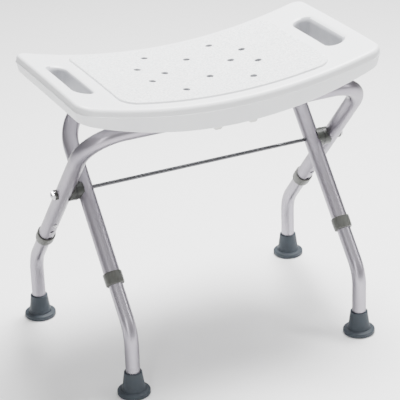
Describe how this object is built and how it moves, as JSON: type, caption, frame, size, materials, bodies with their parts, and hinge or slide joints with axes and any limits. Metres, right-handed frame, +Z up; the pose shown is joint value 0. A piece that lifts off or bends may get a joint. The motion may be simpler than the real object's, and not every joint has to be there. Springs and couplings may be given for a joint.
{
  "type": "shower stool",
  "caption": "Folding shower stool with a dished white plastic seat on two crossing tube frames with height-adjustable legs and rubber feet.",
  "frame": {"origin": "on the floor, under the middle of the stool", "axes": "+X along the seat, +Y from the front to the back, +Z up"},
  "size_m": [0.513, 0.3544, 0.4715],
  "materials": {
    "seat_plastic": "satin white, fine grain on the sitting panel",
    "clip_plastic": "off-white, semi-matt",
    "frame_tube": "satin silver lacquer with a faint violet cast",
    "lower_tube": "satin anodised",
    "bright_metal": "bright plated",
    "spring_steel": "plain spring steel",
    "collar_plastic": "dark grey, semi-matt",
    "dark_plastic": "dark grey, semi-matt",
    "black_plastic": "black, matt",
    "foot_rubber": "blue-grey matt rubber"
  },
  "bodies": {
    "inner_frame": {"inner_frame_tube": "frame_tube", "inner_spacer_left": "dark_plastic", "inner_spacer_right": "dark_plastic", "collar_front_left": "collar_plastic", "collar_front_right": "collar_plastic"},
    "outer_frame": {"outer_frame_tube": "frame_tube", "pivot_rod": "bright_metal", "end_nut_left": "bright_metal", "end_nut_right": "bright_metal", "saddle_washer_left": "dark_plastic", "saddle_washer_right": "dark_plastic", "outer_spacer_left": "dark_plastic", "outer_spacer_right": "dark_plastic", "ring_left": "black_plastic", "ring_right": "black_plastic", "collar_back_left": "collar_plastic", "collar_back_right": "collar_plastic"},
    "seat": {"seat_shell": "seat_plastic", "hinge_clamp_left": "clip_plastic", "hinge_clamp_right": "clip_plastic", "hinge_clamp_screws": "bright_metal", "snap_hook_left": "clip_plastic", "snap_hook_right": "clip_plastic", "snap_hook_screws": "bright_metal"},
    "back_left_leg": {"lower_leg_back_left": "lower_tube", "foot_back_left": "foot_rubber", "foot_washer_back_left": "bright_metal", "leaf_spring_back_left": "spring_steel"},
    "back_left_button": {"button_back_left": "bright_metal"},
    "back_right_leg": {"lower_leg_back_right": "lower_tube", "foot_back_right": "foot_rubber", "foot_washer_back_right": "bright_metal", "leaf_spring_back_right": "spring_steel"},
    "back_right_button": {"button_back_right": "bright_metal"},
    "front_left_leg": {"lower_leg_front_left": "lower_tube", "foot_front_left": "foot_rubber", "foot_washer_front_left": "bright_metal", "leaf_spring_front_left": "spring_steel"},
    "front_left_button": {"button_front_left": "bright_metal"},
    "front_right_leg": {"lower_leg_front_right": "lower_tube", "foot_front_right": "foot_rubber", "foot_washer_front_right": "bright_metal", "leaf_spring_front_right": "spring_steel"},
    "front_right_button": {"button_front_right": "bright_metal"}
  },
  "joints": [
    {"name": "frame_fold", "type": "hinge", "parent": "inner_frame", "child": "outer_frame", "pos_m": [0, 0, 0.279], "axis": [-1, 0, 0], "range_deg": [0, 50]},
    {"name": "seat_hinge", "type": "hinge", "parent": "inner_frame", "child": "seat", "pos_m": [0, 0.09054, 0.38315], "axis": [-1, 0, 0], "range_deg": [0, 86.18]},
    {"name": "back_left_height", "type": "slide", "parent": "outer_frame", "child": "back_left_leg", "axis": [0, 0.6561, -0.7547], "range_m": [0, 0.0454]},
    {"name": "back_left_press", "type": "slide", "parent": "back_left_leg", "child": "back_left_button", "axis": [0, 0.7547, 0.6561], "range_m": [0, 0.0045], "stiffness_N_per_m": 300, "springref_m": -0.003, "deforming": ["button_back_left", "leaf_spring_back_left"]},
    {"name": "back_right_height", "type": "slide", "parent": "outer_frame", "child": "back_right_leg", "axis": [0, 0.6561, -0.7547], "range_m": [0, 0.0454]},
    {"name": "back_right_press", "type": "slide", "parent": "back_right_leg", "child": "back_right_button", "axis": [0, 0.7547, 0.6561], "range_m": [0, 0.0045], "stiffness_N_per_m": 300, "springref_m": -0.003, "deforming": ["button_back_right", "leaf_spring_back_right"]},
    {"name": "front_left_height", "type": "slide", "parent": "inner_frame", "child": "front_left_leg", "axis": [0, -0.6561, -0.7547], "range_m": [0, 0.0454]},
    {"name": "front_left_press", "type": "slide", "parent": "front_left_leg", "child": "front_left_button", "axis": [0, -0.7547, 0.6561], "range_m": [0, 0.0045], "stiffness_N_per_m": 300, "springref_m": -0.003, "deforming": ["button_front_left", "leaf_spring_front_left"]},
    {"name": "front_right_height", "type": "slide", "parent": "inner_frame", "child": "front_right_leg", "axis": [0, -0.6561, -0.7547], "range_m": [0, 0.0454]},
    {"name": "front_right_press", "type": "slide", "parent": "front_right_leg", "child": "front_right_button", "axis": [0, -0.7547, 0.6561], "range_m": [0, 0.0045], "stiffness_N_per_m": 300, "springref_m": -0.003, "deforming": ["button_front_right", "leaf_spring_front_right"]}
  ],
  "couplings": [
    {"joint": "seat_hinge", "follows": "frame_fold", "ratio": 1.7236}
  ]
}
